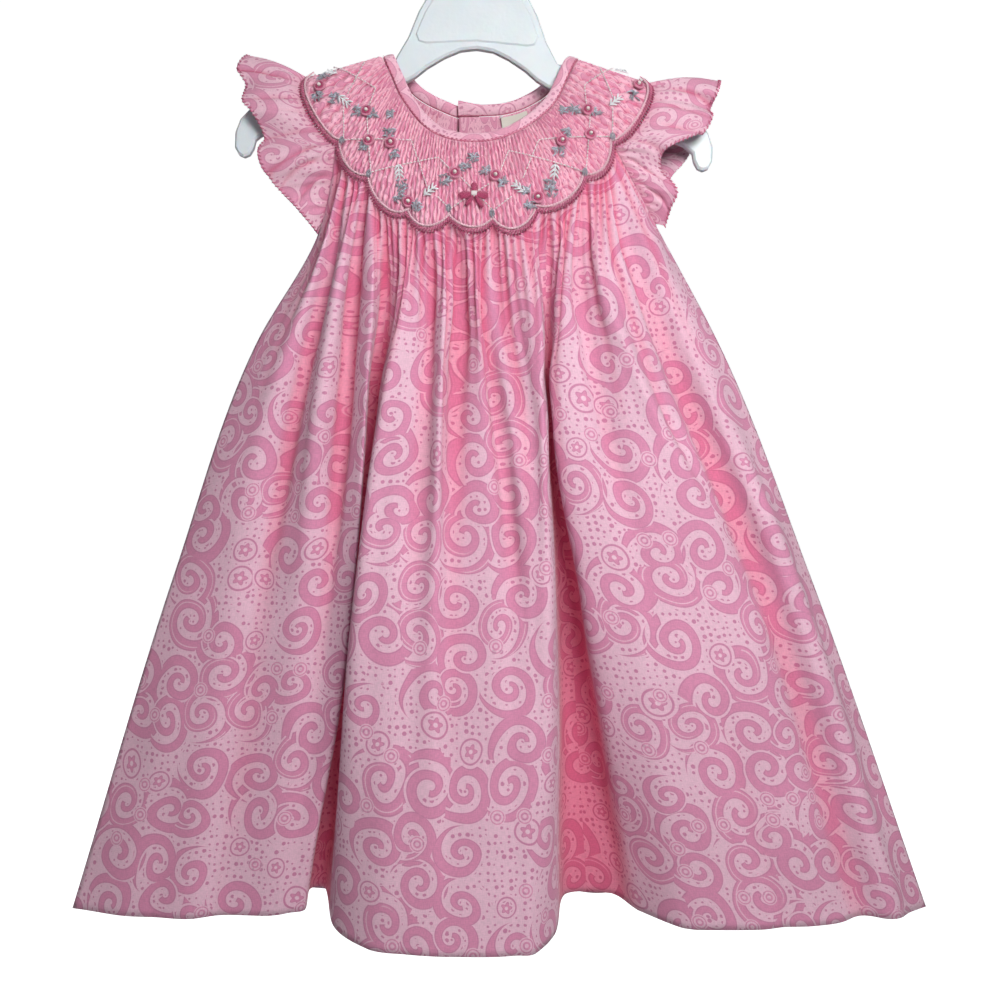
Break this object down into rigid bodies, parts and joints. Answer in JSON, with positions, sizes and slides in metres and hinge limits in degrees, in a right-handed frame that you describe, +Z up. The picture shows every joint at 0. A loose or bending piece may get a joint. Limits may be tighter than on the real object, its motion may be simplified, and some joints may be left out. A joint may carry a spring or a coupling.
{
  "type": "smocked dress on a hanger",
  "caption": "Toddler's bishop dress with a round smocked yoke, gathered printed skirt and flutter sleeves, on a plastic child's hanger.",
  "frame": {"origin": "inside top of the hanger's hook, where it rests on a rail", "axes": "+X towards the viewer's right (the wearer's left), -Y towards the dress's front, +Z up towards the hook"},
  "size_m": [0.525, 0.0984, 0.6367],
  "materials": {
    "printed_cotton": "light pink cotton with a mid pink scroll print",
    "smocked_cotton": "the same cotton in fine smocked pleats",
    "bias_binding": "folded bias strip of the same cotton",
    "label_tape": "blank cream woven tape",
    "bow_floss": "deep pink embroidery floss",
    "button_plastic": "pearly pink shirt buttons",
    "hanger_plastic": "white moulded plastic"
  },
  "bodies": {
    "root": {"skirt_front": "printed_cotton", "skirt_back_left": "printed_cotton", "skirt_back_right": "printed_cotton", "sleeve_left": "printed_cotton", "sleeve_right": "printed_cotton", "yoke_front": "smocked_cotton", "yoke_back_left": "smocked_cotton", "yoke_back_right": "smocked_cotton", "neck_binding": "bias_binding", "neck_label": "label_tape", "bow": "bow_floss", "button_1": "button_plastic", "button_2": "button_plastic", "button_3": "button_plastic", "hanger": "hanger_plastic"}
  },
  "joints": []
}
